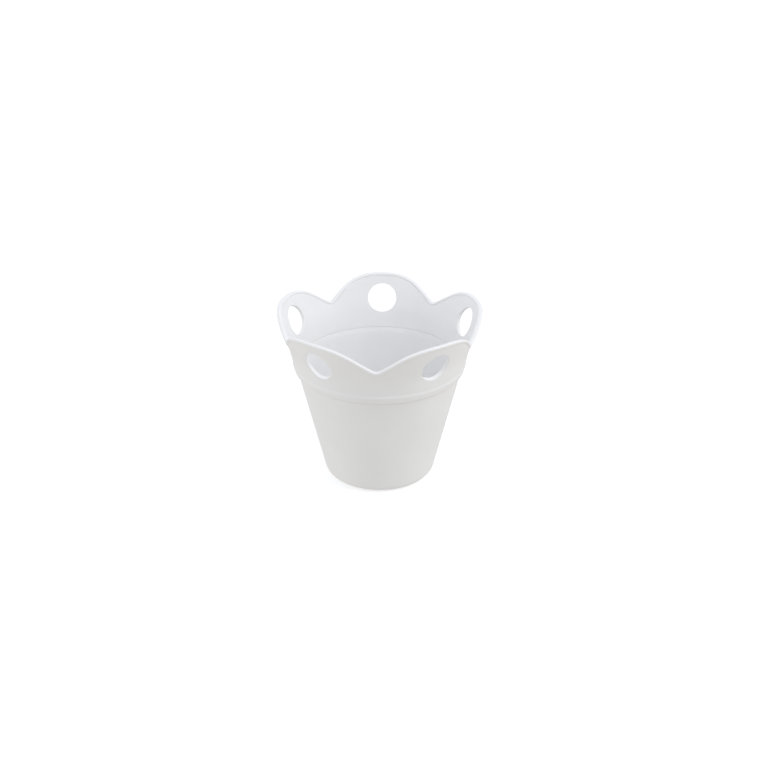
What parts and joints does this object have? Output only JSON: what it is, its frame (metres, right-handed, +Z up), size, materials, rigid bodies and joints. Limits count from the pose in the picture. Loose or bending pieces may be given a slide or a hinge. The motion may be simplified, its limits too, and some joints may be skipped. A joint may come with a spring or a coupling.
{
  "type": "florist bucket",
  "caption": "White tapered bucket with a flared collar cut into rounded petals, each with a round hole, for cut flowers or a potted plant.",
  "frame": {"origin": "centre of the foot ring's contact plane, on the bucket's axis", "axes": "+Z up through the open mouth, +Y through the middle of the back petal, so the valley at -Y is the front"},
  "size_m": [0.201, 0.1973, 0.1736],
  "materials": {
    "white_plastic": "satin to semi-gloss moulded surface"
  },
  "bodies": {
    "root": {"bucket_body": "white_plastic", "petal_collar": "white_plastic"}
  },
  "joints": []
}
